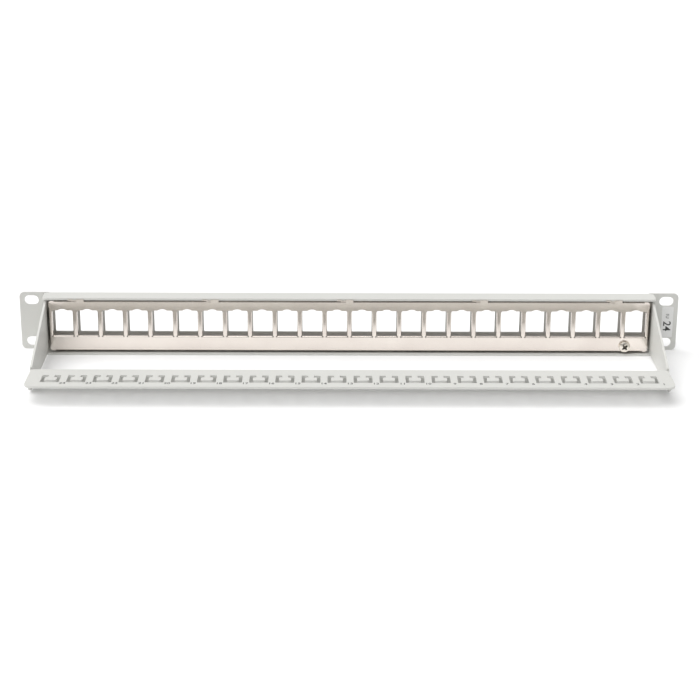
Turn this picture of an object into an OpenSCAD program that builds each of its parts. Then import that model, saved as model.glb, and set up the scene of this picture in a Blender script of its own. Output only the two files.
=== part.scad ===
// Shielded 24-port patch panel, 19 inch, one rack unit, with a rear cable-tie bar.
// Front faces -Y, rear +Y, up +Z. The origin is the centre of the four rack slots,
// on the rear face of the ears, which is the plane that meets the rack's rails.

/* [Front panel] */
// Width over the ears
panel_w = 482.6; // [482:0.1:483]
// Height of one rack unit, less its clearance
panel_h = 43.66; // [43.4:0.02:44]
// Thickness of the painted steel sheet
sheet_t = 1.5; // [1.2:0.1:2]
// Corner radius of the ears
ear_r = 3.5; // [1:0.5:5]
// How far the top and bottom flanges reach behind the ears
flange_reach = 14; // [13.5:0.5:18]
// Half the length of a flange
flange_half = 222.5; // [222:0.1:224]
// Outside radius of the sheet's bends
bend_r = 1.8; // [1.7:0.1:3]

/* [Rack slots] */
// Distance between the left and the right slots
rack_w = 465.1; // [465:0.1:466]
// Distance between the upper and the lower slots
rack_h = 31.75; // [31.7:0.05:31.8]
// Length of a slot
slot_l = 10.4; // [9:0.1:12]
// Height of a slot
slot_h = 7; // [6.4:0.1:7.4]

/* [Ports] */
// Number of ports
ports = 24; // [24]
// Distance between ports
port_pitch = 18.14; // [18.1:0.02:18.2]
// Width of a port in the front panel
face_port_w = 14.55; // [14.4:0.05:14.8]
// Lower edge of a port in the front panel
face_port_low = -8.3; // [-9:0.1:-7.8]
// Height of a port in the front panel
face_port_h = 17.6; // [17:0.1:18]
// Width of a module window in the insert
window_w = 14.8; // [14.6:0.1:15]
// Lower edge of a module window
window_low = -7.5; // [-8:0.1:-7]
// Upper edge of a module window
window_high = 12; // [11.8:0.05:12.6]

/* [Module insert] */
// Thickness of the plated steel sheet
insert_t = 0.8; // [0.7:0.1:1]
// Distance from the ears' rear face to the insert's rear face
insert_back = 12.3; // [11.5:0.1:13]
// Half the length of the insert
insert_half = 218.4; // [217.8:0.1:219]
// Top of the insert
insert_high = 19.15; // [18.2:0.05:19.4]
// Bottom of the insert
insert_low = -18.8; // [-19:0.05:-18.2]
// Depth of the lips round a module window
lip_depth = 2.3; // [1.5:0.1:4]
// Distance between the locating hooks
hook_pitch = 97.5; // [90:0.5:98]
// Number of locating hooks
hooks = 5; // [5]

/* [Cable support] */
// Height of the bar's upper face
bar_top = -7.6; // [-9:0.1:-6]
// Front edge of the bar, behind the ears
bar_front = 80.6; // [78:0.1:90]
// Lower edge of the flange folded down at the bar's front
bar_flange_low = -20.3; // [-21:0.1:-18]
// Rear edge of the bar, behind the ears
bar_back = 115.3; // [110:0.5:120]
// Radius of the bar's rear corners
bar_corner_r = 6; // [3:0.5:8]
// Inside face of an arm, from the middle
arm_in = 220.2; // [219.9:0.1:221]
// Distance between the tie anchors
anchor_pitch = 17.78; // [17.6:0.02:17.9]
// Width of an anchor's window
anchor_w = 12.9; // [12:0.1:13.5]
// Front edge of an anchor's window
anchor_front = 93.5; // [92.5:0.1:95]
// Rear edge of an anchor's window
anchor_back = 107.1; // [106:0.1:108]
// Width of a tongue's neck
neck_w = 4; // [3:0.1:5]
// Width of a tongue's head
head_w = 8.2; // [7:0.1:9]

/* [Earth terminal] */
// Place of the earth screw along the panel
earth_x = -201.4; // [-202:0.1:-199]
// Height of the earth screw
earth_z = -14.6; // [-14.7:0.05:-13.5]
// Diameter of the screw's thread
screw_d = 4; // [4]
// Length of the screw under its head
screw_l = 8; // [8:1:10]
// Diameter of the screw's head
screw_head_d = 7.6; // [7:0.1:8.2]
// Height of the screw's head
screw_head_h = 2.8; // [2.4:0.1:3.1]
// Diameter of the tooth washer
washer_d = 8.8; // [8.4:0.1:9.8]
// Thickness of the tooth washer
washer_t = 0.6; // [0.5:0.1:0.8]

/* [Hidden] */
$fn = 48;
eps = 0.01;
cut = 1;                              // how far a cutter runs past the face it cuts

paint = [0.88, 0.88, 0.86];
nickel = [0.80, 0.77, 0.72];
zinc = [0.84, 0.82, 0.78];
paper = [0.80, 0.80, 0.79];

half_w = panel_w / 2;
half_h = panel_h / 2;
flange_in = half_h - sheet_t;         // inside face of a flange
bend_half = flange_half - 3.5;        // half the length of a bend
relief_w = 0.5;                       // slit between a bend and its ear
relief_h = bend_r + 0.3;
flange_corner_r = 3;
face_port_r = 0.5;

insert_front = insert_back - insert_t;
lip_bend_r = 0.9;                     // outside radius of a lip's bend
lip_gap = 0.2;                        // gap between a lip's end and its neighbour
insert_corner_r = 2;
leg_half = 214.5;                     // half the length of the upper and the lower leg
side_leg_half = 14;                   // half the length of a side leg
leg_bend_r = 0.95;                    // outside radius of a leg's bend
arch_w = 6.8;                         // relief for a module's latch above each window
arch_h = 1.1;
arch_r = (arch_w * arch_w / 4 + arch_h * arch_h) / (2 * arch_h);

tooth_w = 5.6;                        // hook tooth behind the flange's rear edge
finger_w = 3.6;                       // small finger that branches off the tooth
finger_x = 7.15;                      // from the tooth's middle to the finger's
finger_h = 0.8;
hook_y = flange_reach + 0.05;         // front face of a hook
hook_top = 21.1;
hook_low = insert_high - insert_t;    // underside of the step that carries a hook

arm_out = arm_in + sheet_t;
arm_back = 93;                        // rear end of an arm
arm_low = -flange_in;                 // lower edge, level with the flange's inside
arm_flat = 9;                         // how far the upper edge stays under the flange
arm_slope_z = 17.8;                   // upper edge where it leaves the flange
arm_slope_y = 12.5;
arm_end_z = -6.4;                     // upper edge where it meets the bar
arm_round_r = 4;
joint_front = bar_front + bend_r;     // start of the stretch where the bar folds into an arm
bar_flange_half = 219.2;              // half the length of the bar's flange
bar_end = 221;                        // free side edge of the bar
tab_in = 216;                         // inner end of a welded tab
tab_y0 = 1;
tab_y1 = 9;
head_front = 97.2;                    // tongue's head, front and rear edge
head_back = 102.9;
head_r = 1.2;
window_r = 0.6;                       // corner radius of an anchor's window

fit_gap = 0.05;                       // radial clearance of the thread and the nut's pilot
washer_gap = 0.08;                    // radial clearance inside the washer
nut_r = 3.2;
nut_h = 3;
nut_pilot_r = 2.7;
washer_teeth = 14;
washer_root_r = washer_d / 2 - 0.8;
recess_w = 1.2;                       // cross recess: wing width, span and depth
recess_span = 4.6;
recess_depth = 2.2;
recess_turn = 38;

label_w = 8.4;
label_h = 23.8;
label_t = 0.15;
label_x = -234;

// Places of the ports, anchors and hooks along X. Port 1 is at -X.
function row_x(i, count, pitch) = (i - (count - 1) / 2) * pitch;

// Rectangle with its corner at p and round corners, all true arcs.
module rounded(size, r, p = [0, 0]) {
    translate(p) {
        translate([r, 0]) square([size[0] - 2 * r, size[1]]);
        translate([0, r]) square([size[0], size[1] - 2 * r]);
        for (x = [r, size[0] - r], y = [r, size[1] - r])
            translate([x, y]) circle(r);
    }
}

// Slot with round ends, lying along X.
module slot_2d(length, height) {
    square([length - height, height], center = true);
    for (side = [-1, 1])
        translate([side * (length - height) / 2, 0]) circle(height / 2);
}

// Turns an outline drawn as (X, Z) into a plate from y0 to y1.
module plate_y(y0, y1) {
    translate([0, y1, 0]) rotate([90, 0, 0]) linear_extrude(y1 - y0) children();
}

// Turns an outline drawn as (Y, Z) into a bar from x0 to x1.
module bar_x(x0, x1) {
    translate([x0, 0, 0]) rotate([90, 0, 90]) linear_extrude(x1 - x0) children();
}

// ---------------------------------------------------------------- front panel

// Outside of the folded channel, as (Y, Z), or its inside when inset by the sheet.
module channel_outline(inset) {
    r = bend_r - inset;
    y0 = inset - sheet_t;
    h = half_h - inset;
    translate([y0 + r, -h]) square([flange_reach - y0 - r + (inset > 0 ? cut : 0), 2 * h]);
    translate([y0, -h + r]) square([r, 2 * (h - r)]);
    for (side = [-1, 1])
        translate([y0 + r, side * (h - r)]) circle(r);
}

module flange_outline() {
    y0 = bend_r - sheet_t;
    rounded([2 * flange_half, flange_reach - y0], flange_corner_r, [-flange_half, y0]);
    translate([-bend_half, y0]) square([2 * bend_half, flange_reach - y0]);
}

module ears_outline() {
    difference() {
        rounded([panel_w, panel_h], ear_r, [-half_w, -half_h]);
        square([2 * bend_half, panel_h + 2 * cut], center = true);
        for (sx = [-1, 1], sz = [-1, 1])
            translate([sx * (bend_half + relief_w / 2), sz * half_h])
                square([relief_w, 2 * relief_h], center = true);
        for (sx = [-1, 1], sz = [-1, 1])
            translate([sx * rack_w / 2, sz * rack_h / 2]) slot_2d(slot_l, slot_h);
    }
}

module face_ports_outline() {
    for (i = [0 : ports - 1])
        rounded([face_port_w, face_port_h], face_port_r,
                [row_x(i, ports, port_pitch) - face_port_w / 2, face_port_low]);
}

module front_panel() {
    color(paint) difference() {
        union() {
            plate_y(-sheet_t, 0) ears_outline();
            bar_x(-bend_half, bend_half) difference() {
                channel_outline(0);
                channel_outline(sheet_t);
            }
            for (z = [-half_h, flange_in])
                translate([0, 0, z]) linear_extrude(sheet_t) flange_outline();
        }
        plate_y(-sheet_t - cut, cut) face_ports_outline();
    }
}

// -------------------------------------------------------------- module insert

// Section of a folded lip: a runs from its outside into the metal, b runs forwards.
module lip_outline(r, depth) {
    translate([0, r]) square([insert_t, depth - r]);
    difference() {
        intersection() {
            translate([r, r]) circle(r);
            square([r, r]);
        }
        translate([r, r]) circle(r - insert_t);
    }
}

// The side lips stand along Z, and the lower lip lies along X. Small gaps part them.
module window_lips(x) {
    height = window_high - window_low - lip_bend_r - 2 * lip_gap;
    width = window_w - 2 * lip_gap;
    for (side = [0, 1])
        translate([x, insert_back, window_low + lip_gap]) mirror([side, 0, 0])
            translate([window_w / 2, 0, 0]) mirror([0, 1, 0])
                linear_extrude(height) lip_outline(lip_bend_r, lip_depth);
    translate([x - width / 2, insert_back, window_low])
        rotate([0, 90, 0]) mirror([0, 1, 0])
            linear_extrude(width) lip_outline(lip_bend_r, lip_depth);
}

// Hole left in the web for one window, with room for the lips' bends.
module window_outline(x) {
    r = lip_bend_r;
    w = window_w + 2 * r;
    h = window_high - window_low;
    translate([x - w / 2, window_low - r]) square([w, h]);
    rounded([window_w, h], r, [x - window_w / 2, window_low]);
    translate([x, window_high + arch_h - arch_r]) circle(arch_r);
}

// Web of the insert, less the room for the bends of its side legs.
module web_outline() {
    difference() {
        rounded([2 * insert_half, insert_high - insert_low], insert_corner_r,
                [-insert_half, insert_low]);
        for (side = [-1, 1])
            translate([side * insert_half, 0])
                square([2 * leg_bend_r, 2 * side_leg_half], center = true);
    }
}

module side_leg() {
    translate([insert_half, insert_back, -side_leg_half]) rotate([0, 0, 180])
        linear_extrude(2 * side_leg_half) lip_outline(leg_bend_r, insert_back);
}

// Section of the folded web and its two legs, as (Y, Z).
module legs_outline(inset) {
    r = leg_bend_r - inset;
    y1 = insert_back - inset;
    low = insert_low + inset;
    high = insert_high - inset;
    past = inset > 0 ? cut : 0;
    translate([-past, low]) square([y1 - r + past, high - low]);
    translate([y1 - r, low + r]) square([r, high - low - 2 * r]);
    for (z = [low + r, high - r])
        translate([y1 - r, z]) circle(r);
}

// One hook: a step under the flange carries a tooth that stands up behind the flange's
// rear edge, and a finger branches off the tooth to one side.
module hook(x) {
    left = x - tooth_w / 2;
    right = left + tooth_w;
    finger_left = x + finger_x - finger_w / 2;
    translate([left, insert_front, hook_low])
        cube([tooth_w, hook_y + insert_t - insert_front, insert_t]);
    translate([left, hook_y, hook_low])
        cube([tooth_w, insert_t, hook_top - hook_low]);
    translate([right - eps, hook_y, hook_top - 1.8 * finger_h])
        cube([finger_left - right + finger_h, insert_t, finger_h]);
    translate([finger_left, hook_y, hook_top - finger_h])
        cube([finger_w, insert_t, finger_h]);
}

module module_insert() {
    color(nickel) {
        difference() {
            union() {
                plate_y(insert_front, insert_back) difference() {
                    web_outline();
                    square([2 * leg_half, panel_h], center = true);
                }
                bar_x(-leg_half, leg_half) difference() {
                    legs_outline(0);
                    legs_outline(insert_t);
                }
            }
            plate_y(insert_front - cut, insert_back + cut)
                for (i = [0 : ports - 1]) window_outline(row_x(i, ports, port_pitch));
            translate([earth_x, insert_back + cut, earth_z]) rotate([90, 0, 0])
                cylinder(r = nut_pilot_r + fit_gap, h = insert_t + 2 * cut);
        }
        for (i = [0 : ports - 1]) window_lips(row_x(i, ports, port_pitch));
        side_leg();
        mirror([1, 0, 0]) side_leg();
        for (i = [0 : hooks - 1]) hook(row_x(i, hooks, hook_pitch));
    }
}

// -------------------------------------------------------------- cable support

// Side view of an arm as (Y, Z).
module arm_outline() {
    difference() {
        polygon([[0, arm_low], [0, flange_in], [arm_flat, flange_in], [arm_slope_y, arm_slope_z],
                 [joint_front - 1, arm_end_z], [joint_front - 1, bar_top - bend_r],
                 [arm_back, bar_top - bend_r], [arm_back, arm_low]]);
        translate([arm_back - arm_round_r, arm_low]) difference() {
            translate([0, -cut]) square([arm_round_r + cut, arm_round_r + cut]);
            translate([0, arm_round_r]) circle(arm_round_r);
        }
    }
}

// Quarter ring of a fold, with its centre at the origin.
module fold_outline() {
    difference() {
        intersection() {
            circle(bend_r);
            square([bend_r, bend_r]);
        }
        circle(bend_r - sheet_t);
    }
}

module arm() {
    bar_x(arm_in, arm_out) arm_outline();
    translate([arm_out - bend_r, arm_back, bar_top - bend_r]) rotate([90, 0, 0])
        linear_extrude(arm_back - joint_front) fold_outline();
    for (z = [arm_low, flange_in - sheet_t])
        translate([tab_in, tab_y0, z]) cube([arm_in - tab_in + eps, tab_y1 - tab_y0, sheet_t]);
}

// Hole round one tongue: a window less the tongue that stands in it.
module anchor_outline(x) {
    difference() {
        rounded([anchor_w, anchor_back - anchor_front], window_r, [x - anchor_w / 2, anchor_front]);
        translate([x - neck_w / 2, anchor_front - cut]) square([neck_w, head_back - anchor_front]);
        rounded([head_w, head_back - head_front], head_r, [x - head_w / 2, head_front]);
    }
}

// Section of the flange folded down at the bar's front edge, as (Y, Z).
module bar_flange_outline() {
    translate([bar_front, bar_flange_low]) square([sheet_t, bar_top - bend_r - bar_flange_low]);
    translate([bar_front + bend_r, bar_top - bend_r]) mirror([1, 0]) fold_outline();
}

// Flat part of the bar, seen from above.
module bar_outline() {
    fold_x = arm_out - bend_r;
    difference() {
        union() {
            translate([-fold_x, joint_front]) square([2 * fold_x, arm_back + 1 - joint_front]);
            rounded([2 * bar_end, bar_back - arm_back - 1], bar_corner_r, [-bar_end, arm_back + 1]);
            translate([-bar_end, arm_back + 1]) square([2 * bar_end, 2 * bar_corner_r]);
        }
        for (i = [0 : ports - 1]) anchor_outline(row_x(i, ports, anchor_pitch));
    }
}

module cable_support() {
    color(paint) {
        translate([0, 0, bar_top - sheet_t]) linear_extrude(sheet_t) bar_outline();
        bar_x(-bar_flange_half, bar_flange_half) bar_flange_outline();
        arm();
        mirror([1, 0, 0]) arm();
    }
}

// ------------------------------------------------------------- earth terminal

// Turns a solid built along +Z so that it points to the rear at the earth terminal.
module at_earth(y) {
    translate([earth_x, y, earth_z]) rotate([-90, 0, 0]) children();
}

module cross_recess() {
    for (turn = [0, 90])
        rotate([0, 0, turn + recess_turn])
            translate([-recess_span / 2, -recess_w / 2, 0])
                cube([recess_span, recess_w, recess_depth + cut]);
    cylinder(r1 = recess_w / 2, r2 = recess_w * 1.2, h = recess_depth + eps);
}

module earth_screw() {
    crown_r = screw_head_d;
    color(zinc) at_earth(insert_back + washer_t) difference() {
        union() {
            translate([0, 0, -screw_l]) cylinder(d = screw_d, h = screw_l + eps);
            intersection() {
                cylinder(d = screw_head_d, h = screw_head_h);
                translate([0, 0, screw_head_h - crown_r]) sphere(crown_r);
            }
        }
        translate([0, 0, screw_head_h - recess_depth]) cross_recess();
    }
}

module earth_washer() {
    color(zinc) at_earth(insert_back) linear_extrude(washer_t) difference() {
        circle(d = washer_d);
        circle(screw_d / 2 + washer_gap);
        for (i = [0 : washer_teeth - 1])
            rotate(i * 360 / washer_teeth)
                translate([washer_root_r, -0.45]) square([washer_d, 0.9]);
    }
}

module earth_nut() {
    color(zinc) at_earth(insert_front - nut_h) difference() {
        union() {
            cylinder(r = nut_r, h = nut_h);
            cylinder(r = nut_pilot_r, h = nut_h + insert_t);
        }
        translate([0, 0, -cut]) cylinder(r = screw_d / 2 + fit_gap, h = nut_h + insert_t + 2 * cut);
    }
}

// ---------------------------------------------------------------------- label

// Blank marking label on the rear of the ear beside port 1.
module ear_label() {
    color(paper) plate_y(0, label_t)
        rounded([label_w, label_h], 1, [label_x - label_w / 2, -label_h / 2]);
}

front_panel();
module_insert();
cable_support();
earth_screw();
earth_washer();
earth_nut();
ear_label();
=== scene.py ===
"""Looks of the 24-port patch panel, seen from the rear and a little above."""
import math

import bmesh
import bpy
from mathutils import Matrix, Quaternion, Vector


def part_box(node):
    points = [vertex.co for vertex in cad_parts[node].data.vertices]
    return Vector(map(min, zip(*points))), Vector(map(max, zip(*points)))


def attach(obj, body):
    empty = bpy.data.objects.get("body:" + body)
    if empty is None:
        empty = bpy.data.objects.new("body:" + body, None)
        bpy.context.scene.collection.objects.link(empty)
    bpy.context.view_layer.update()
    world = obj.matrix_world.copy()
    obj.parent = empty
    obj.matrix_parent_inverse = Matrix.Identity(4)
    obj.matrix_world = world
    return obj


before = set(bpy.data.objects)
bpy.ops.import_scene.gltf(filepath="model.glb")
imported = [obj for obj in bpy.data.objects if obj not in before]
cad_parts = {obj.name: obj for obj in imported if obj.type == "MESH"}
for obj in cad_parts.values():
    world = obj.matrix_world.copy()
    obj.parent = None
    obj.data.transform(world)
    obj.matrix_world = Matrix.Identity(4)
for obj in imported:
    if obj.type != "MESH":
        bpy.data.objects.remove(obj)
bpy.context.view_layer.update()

MM = 0.001
PORTS = 24
PORT_PITCH = 18.14 * MM
ANCHOR_PITCH = 17.78 * MM
BAR_TOP = -7.6 * MM
X_AXIS, Y_AXIS, Z_AXIS = Vector((1, 0, 0)), Vector((0, 1, 0)), Vector((0, 0, 1))

# Camera: where it stands round the origin, what it looks at, and its slight roll.
CAMERA_DISTANCE = 1.3
CAMERA_ELEVATION = 18.88
CAMERA_AZIMUTH = 0.376
CAMERA_ROLL = 0.27
CAMERA_AIM = Vector((-0.0006, 0, -0.0225))
LENS_MM = 90.88
SENSOR_MM = 36

# Light: a soft sun from the rear, from port 24's side, over a white horizon. The sky is
# dim in between, and brighter overhead, beyond the panel and on port 1's side.
HORIZON = 0.90
SKY_LOW = 0.03
SKY_OVERHEAD = 0.20
SKY_BEYOND = 0.25
SKY_PORT_1_SIDE = 0.35
SUN_STRENGTH = 3.15
SUN_FROM = Vector((0.44, 0.17, 0.92))
SUN_SOFTNESS = 75
FLOOR_GLOW = 0.13
FLOOR_HALF = 12
FLOOR_WHITE = 0.80

# Printing: an anchor's number stands beside the anchor and in from the bar's rear edge.
INK_HEIGHT = 0.03 * MM
REAR_DIGIT_HEIGHT = 3.2 * MM
FRONT_DIGIT_HEIGHT = 2.6 * MM
ANCHOR_NUMBER_SIDE = 9.1 * MM
ANCHOR_NUMBER_IN = 6.7 * MM
PORT_NUMBER_Z = 14.2 * MM
LABEL_MARKS = (("1U", 2.4 * MM, 4.6 * MM), ("24", 5.6 * MM, -3.2 * MM))

# Cross recess: painted shade darkens the plating below the head's crown and inside this
# radius.
RECESS_SHALLOW = 0.45 * MM
RECESS_DEEP = 0.75 * MM
RECESS_RADIUS = 2.60 * MM
RECESS_FULL_RADIUS = 2.45 * MM

panel_low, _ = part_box("front_panel")
_, support_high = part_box("cable_support")
label_low, label_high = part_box("ear_label")
screw_low, screw_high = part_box("earth_screw")


# ------------------------------------------------------------------ materials

def new_material(name):
    """A Principled material, its node tree and its shader."""
    material = bpy.data.materials.new(name)
    material.use_nodes = True
    tree = material.node_tree
    shader = tree.nodes["Principled BSDF"]
    return material, tree, shader


def object_coordinates(tree, scale=(1, 1, 1)):
    coordinates = tree.nodes.new("ShaderNodeTexCoord")
    mapping = tree.nodes.new("ShaderNodeMapping")
    mapping.inputs["Scale"].default_value = scale
    tree.links.new(coordinates.outputs["Object"], mapping.inputs["Vector"])
    return mapping.outputs["Vector"]


def noise(tree, vector, scale, detail=2.0, roughness=0.5):
    node = tree.nodes.new("ShaderNodeTexNoise")
    node.inputs["Scale"].default_value = scale
    node.inputs["Detail"].default_value = detail
    node.inputs["Roughness"].default_value = roughness
    tree.links.new(vector, node.inputs["Vector"])
    return node.outputs["Fac"]


def ramp(tree, factor, low, high, start=0.3, end=0.7):
    """Turns a factor into a colour between low and high."""
    node = tree.nodes.new("ShaderNodeValToRGB")
    node.color_ramp.elements[0].position = start
    node.color_ramp.elements[0].color = (*low, 1)
    node.color_ramp.elements[1].position = end
    node.color_ramp.elements[1].color = (*high, 1)
    tree.links.new(factor, node.inputs["Fac"])
    return node.outputs["Color"]


def map_range(tree, value, start, end, low=0.0, high=1.0):
    """Maps start to low and end to high, and holds the value past both."""
    node = tree.nodes.new("ShaderNodeMapRange")
    node.inputs["From Min"].default_value = start
    node.inputs["From Max"].default_value = end
    node.inputs["To Min"].default_value = low
    node.inputs["To Max"].default_value = high
    tree.links.new(value, node.inputs["Value"])
    return node.outputs["Result"]


def spread(tree, factor, low, high):
    """Turns a noise factor into a number between low and high."""
    return map_range(tree, factor, 0.25, 0.75, low, high)


def combine(tree, kind, operation, *values):
    """A Math or Vector Math node on its inputs, which are sockets or constants."""
    node = tree.nodes.new(kind)
    node.operation = operation
    for socket, value in zip(node.inputs, values):
        if isinstance(value, bpy.types.NodeSocket):
            tree.links.new(value, socket)
        else:
            socket.default_value = value
    return node


def bump(tree, shader, height, distance, strength):
    node = tree.nodes.new("ShaderNodeBump")
    node.inputs["Distance"].default_value = distance
    node.inputs["Strength"].default_value = strength
    tree.links.new(height, node.inputs["Height"])
    tree.links.new(node.outputs["Normal"], shader.inputs["Normal"])


def powder_coat():
    """Light-grey powder coat: fine orange peel, and a tint that wanders a little."""
    material, tree, shader = new_material("powder_coat")
    space = object_coordinates(tree)
    drift = noise(tree, space, 9.0, 3.0)
    tint = ramp(tree, drift, (0.600, 0.600, 0.572), (0.630, 0.628, 0.600))
    tree.links.new(tint, shader.inputs["Base Color"])
    peel = noise(tree, space, 900.0, 3.0, 0.6)
    tree.links.new(spread(tree, peel, 0.40, 0.52), shader.inputs["Roughness"])
    shader.inputs["Specular IOR Level"].default_value = 0.4
    bump(tree, shader, peel, 0.04 * MM, 0.6)
    return material


def nickel():
    """Nickel-plated sheet: warm bright metal with faint rolling marks along X."""
    material, tree, shader = new_material("nickel_plate")
    shader.inputs["Metallic"].default_value = 1.0
    along = object_coordinates(tree, (6, 260, 260))
    grain = noise(tree, along, 9.0, 4.0, 0.6)
    cloud = noise(tree, object_coordinates(tree), 38.0, 2.0)
    tint = ramp(tree, cloud, (0.750, 0.685, 0.635), (0.805, 0.745, 0.690))
    tree.links.new(tint, shader.inputs["Base Color"])
    tree.links.new(spread(tree, grain, 0.11, 0.16), shader.inputs["Roughness"])
    bump(tree, shader, grain, 0.004 * MM, 0.2)
    return material


def plated_steel(name, low, high, roughness):
    """Bright plated steel of the screw, its washer and its nut."""
    material, tree, shader = new_material(name)
    shader.inputs["Metallic"].default_value = 1.0
    fine = noise(tree, object_coordinates(tree), 2200.0, 3.0)
    tree.links.new(ramp(tree, fine, low, high), shader.inputs["Base Color"])
    tree.links.new(spread(tree, fine, roughness, roughness + 0.12), shader.inputs["Roughness"])
    bump(tree, shader, fine, 0.01 * MM, 0.4)
    return material


def screw_head(low, high, roughness):
    """The screw's plating, with painted shade darkening it down in the cross recess."""
    material = plated_steel("screw_head", low, high, roughness)
    tree = material.node_tree
    shader = tree.nodes["Principled BSDF"]
    bright = shader.inputs["Base Color"].links[0].from_socket
    middle = (screw_low + screw_high) / 2
    coordinates = tree.nodes.new("ShaderNodeTexCoord")
    centred = tree.nodes.new("ShaderNodeMapping")
    centred.inputs["Location"].default_value = (-middle.x, -screw_high.y, -middle.z)
    tree.links.new(coordinates.outputs["Object"], centred.inputs["Vector"])
    place = centred.outputs["Vector"]
    axes = tree.nodes.new("ShaderNodeSeparateXYZ")
    tree.links.new(place, axes.inputs["Vector"])
    deep = map_range(tree, axes.outputs["Y"], -RECESS_SHALLOW, -RECESS_DEEP)
    flat = combine(tree, "ShaderNodeVectorMath", "MULTIPLY", place, (1, 0, 1))
    radius = combine(tree, "ShaderNodeVectorMath", "LENGTH", flat.outputs["Vector"])
    inside = map_range(tree, radius.outputs["Value"], RECESS_RADIUS, RECESS_FULL_RADIUS)
    # Painted shade: how deep and how far inside the recess a point lies sets how much
    # near-black is mixed in.
    recess_shade_mask = combine(tree, "ShaderNodeMath", "MULTIPLY", deep, inside)
    mix = tree.nodes.new("ShaderNodeMix")
    mix.data_type = "RGBA"
    tree.links.new(recess_shade_mask.outputs["Value"], mix.inputs["Factor"])
    tree.links.new(bright, mix.inputs["A"])
    # Painted shade: the near-black colour stands in for the shade down in the recess.
    mix.inputs["B"].default_value = (0.10, 0.09, 0.075, 1)
    tree.links.new(mix.outputs["Result"], shader.inputs["Base Color"])
    return material


def label_film():
    """Matt silver-grey film with a faint grain."""
    material, tree, shader = new_material("label_film")
    fine = noise(tree, object_coordinates(tree), 3000.0, 2.0)
    tint = ramp(tree, fine, (0.735, 0.735, 0.725), (0.775, 0.775, 0.765))
    tree.links.new(tint, shader.inputs["Base Color"])
    tree.links.new(spread(tree, fine, 0.45, 0.6), shader.inputs["Roughness"])
    return material


def ink():
    """Pad-printed ink: near black, a little patchy."""
    material, tree, shader = new_material("print_ink")
    patchy = noise(tree, object_coordinates(tree), 1500.0, 2.0)
    tint = ramp(tree, patchy, (0.03, 0.03, 0.03), (0.045, 0.045, 0.0435))
    tree.links.new(tint, shader.inputs["Base Color"])
    shader.inputs["Roughness"].default_value = 0.6
    return material


PLATING = ((0.86, 0.80, 0.72), (0.93, 0.88, 0.80), 0.22)
POWDER = powder_coat()
NICKEL = nickel()
ZINC = plated_steel("screw_plate", *PLATING)
HEAD = screw_head(*PLATING)
FILM = label_film()
INK = ink()


# ------------------------------------------------------------------ CAD nodes

def dress(name, material, edge, segments=2):
    """Gives a CAD node its material and softens its cut edges."""
    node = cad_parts[name]
    node.data.materials.clear()
    node.data.materials.append(material)
    weld = node.modifiers.new("weld", "WELD")
    weld.merge_threshold = 0.002 * MM
    flat = node.modifiers.new("flat", "DECIMATE")
    flat.decimate_type = "DISSOLVE"
    flat.angle_limit = math.radians(0.5)
    soft = node.modifiers.new("soft_edges", "BEVEL")
    soft.width = edge
    soft.segments = segments
    soft.limit_method = "ANGLE"
    soft.angle_limit = math.radians(32)
    soft.use_clamp_overlap = True
    soft.miter_outer = "MITER_ARC"
    even = node.modifiers.new("even_normals", "WEIGHTED_NORMAL")
    even.keep_sharp = True
    even.weight = 60


dress("front_panel", POWDER, 0.22 * MM)
dress("cable_support", POWDER, 0.22 * MM)
dress("module_insert", NICKEL, 0.12 * MM)
dress("earth_screw", HEAD, 0.12 * MM)
dress("earth_washer", ZINC, 0.08 * MM)
dress("earth_nut", ZINC, 0.15 * MM)
dress("ear_label", FILM, 0.02 * MM, 1)


# ------------------------------------------------------------------- printing

def text_mesh(text, height):
    """The outline of a text as a thin mesh in XY, read from +Z and centred on its box."""
    curve = bpy.data.curves.new("text", "FONT")
    curve.body = text
    curve.size = height * 1.4
    curve.offset = height * 0.016
    curve.extrude = INK_HEIGHT / 2
    curve.resolution_u = 3
    holder = bpy.data.objects.new("text", curve)
    bpy.context.scene.collection.objects.link(holder)
    bpy.context.view_layer.update()
    graph = bpy.context.evaluated_depsgraph_get()
    mesh = bpy.data.meshes.new_from_object(holder.evaluated_get(graph))
    bpy.data.objects.remove(holder)
    bpy.data.curves.remove(curve)
    xs = [v.co.x for v in mesh.vertices]
    ys = [v.co.y for v in mesh.vertices]
    scale = height / (max(ys) - min(ys))
    middle = Vector(((max(xs) + min(xs)) / 2, (max(ys) + min(ys)) / 2, 0))
    mesh.transform(Matrix.Diagonal((scale, scale, 1, 1)) @ Matrix.Translation(-middle))
    return mesh


def printed(name, items):
    """One piece on the panel made of many prints: (text, height, place as a matrix)."""
    work = bmesh.new()
    for text, height, place in items:
        mesh = text_mesh(text, height)
        mesh.transform(place)
        work.from_mesh(mesh)
        bpy.data.meshes.remove(mesh)
    bmesh.ops.remove_doubles(work, verts=work.verts, dist=0.0005 * MM)
    mesh = bpy.data.meshes.new(name)
    work.to_mesh(mesh)
    work.free()
    piece = bpy.data.objects.new(name, mesh)
    bpy.context.scene.collection.objects.link(piece)
    mesh.materials.append(INK)
    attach(piece, "panel")


def facing(place, right, up):
    """Matrix that lays a text with its reading direction along right and its top along up."""
    out = right.cross(up)
    turn = Matrix((right, up, out)).transposed().to_4x4()
    return Matrix.Translation(place + out * (INK_HEIGHT / 2)) @ turn


def row_x(i, pitch):
    """Middle of a row's place i, on a row centred on the panel."""
    return (i - (PORTS - 1) / 2) * pitch


# Beside each tie anchor, read from the rear.
anchor_y = support_high.y - ANCHOR_NUMBER_IN
printed("anchor_numbers", [
    (str(i + 1), REAR_DIGIT_HEIGHT,
     facing(Vector((row_x(i, ANCHOR_PITCH) - ANCHOR_NUMBER_SIDE, anchor_y, BAR_TOP)),
            -X_AXIS, -Y_AXIS))
    for i in range(PORTS)])

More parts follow.
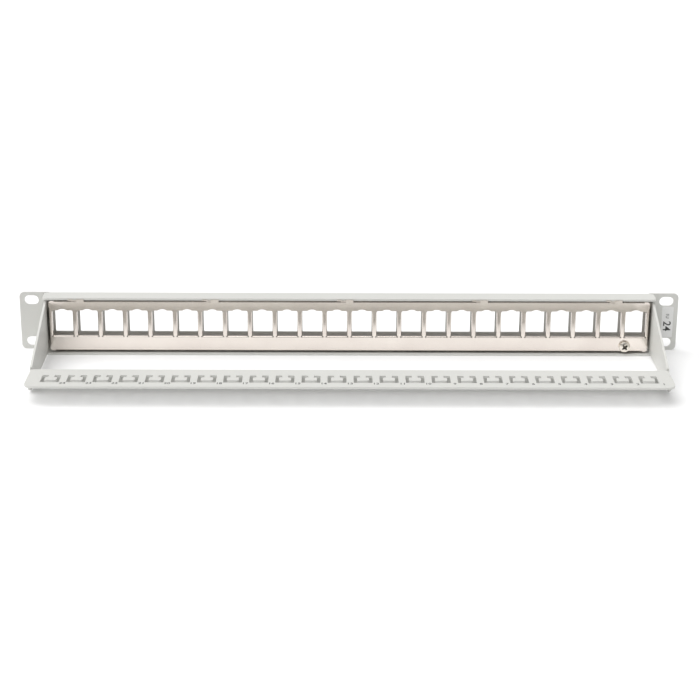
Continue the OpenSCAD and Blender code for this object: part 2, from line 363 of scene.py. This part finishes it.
# Over each port, read from the front.
printed("port_numbers", [
    (str(i + 1), FRONT_DIGIT_HEIGHT,
     facing(Vector((row_x(i, PORT_PITCH), panel_low.y, PORT_NUMBER_Z)), X_AXIS, Z_AXIS))
    for i in range(PORTS)])

# Generic size marks on the label, a quarter turn clockwise: (text, height, rise).
label_middle = (label_low + label_high) / 2
printed("label_marks", [
    (text, height,
     facing(Vector((label_middle.x, label_high.y, label_middle.z + rise)), -Z_AXIS, -X_AXIS))
    for text, height, rise in LABEL_MARKS])


# -------------------------------------------------------------- floor, lights

def make_floor():
    work = bmesh.new()
    bmesh.ops.create_grid(work, x_segments=1, y_segments=1, size=FLOOR_HALF)
    mesh = bpy.data.meshes.new("floor")
    work.to_mesh(mesh)
    work.free()
    floor = bpy.data.objects.new("floor", mesh)
    floor.location.z = panel_low.z
    bpy.context.scene.collection.objects.link(floor)
    material, _, shader = new_material("floor_white")
    shader.inputs["Base Color"].default_value = (FLOOR_WHITE, FLOOR_WHITE, FLOOR_WHITE, 1)
    shader.inputs["Roughness"].default_value = 0.9
    shader.inputs["Specular IOR Level"].default_value = 0.1
    shader.inputs["Emission Color"].default_value = (1, 1, 1, 1)
    shader.inputs["Emission Strength"].default_value = FLOOR_GLOW
    mesh.materials.append(material)


def make_sky():
    """A grey world whose strength is a sum of ramps along the directions' axes."""
    world = bpy.data.worlds.new("studio")
    bpy.context.scene.world = world
    world.use_nodes = True
    tree = world.node_tree
    background = tree.nodes["Background"]
    background.inputs["Color"].default_value = (1, 1, 1, 1)
    coordinates = tree.nodes.new("ShaderNodeTexCoord")
    axes = tree.nodes.new("ShaderNodeSeparateXYZ")
    tree.links.new(coordinates.outputs["Generated"], axes.inputs["Vector"])
    total = map_range(tree, axes.outputs["Z"], 0.12, 0.20, HORIZON, 0)
    for axis, start, end, low, high in (
            ("Z", 0.15, 0.75, SKY_LOW, SKY_LOW + SKY_OVERHEAD),
            ("Y", 0.2, -0.6, 0, SKY_BEYOND),
            ("X", 0, -0.8, 0, SKY_PORT_1_SIDE)):
        rise = map_range(tree, axes.outputs[axis], start, end, low, high)
        total = combine(tree, "ShaderNodeMath", "ADD", total, rise).outputs["Value"]
    tree.links.new(total, background.inputs["Strength"])


def make_sun():
    light = bpy.data.lights.new("key", "SUN")
    light.energy = SUN_STRENGTH
    light.angle = math.radians(SUN_SOFTNESS)
    key = bpy.data.objects.new("key", light)
    key.rotation_mode = "QUATERNION"
    key.rotation_quaternion = SUN_FROM.to_track_quat("Z", "Y")
    bpy.context.scene.collection.objects.link(key)


def make_camera():
    azimuth, elevation = math.radians(CAMERA_AZIMUTH), math.radians(CAMERA_ELEVATION)
    place = CAMERA_DISTANCE * Vector((
        math.sin(azimuth) * math.cos(elevation),
        math.cos(azimuth) * math.cos(elevation),
        math.sin(elevation)))
    data = bpy.data.cameras.new("camera")
    data.lens = LENS_MM
    data.sensor_width = SENSOR_MM
    camera = bpy.data.objects.new("camera", data)
    camera.location = place
    camera.rotation_mode = "QUATERNION"
    roll = Quaternion(Z_AXIS, math.radians(CAMERA_ROLL))
    camera.rotation_quaternion = (CAMERA_AIM - place).to_track_quat("-Z", "Y") @ roll
    bpy.context.scene.collection.objects.link(camera)
    bpy.context.scene.camera = camera


make_floor()
make_sky()
make_sun()
make_camera()
bpy.context.scene.view_settings.view_transform = "Standard"
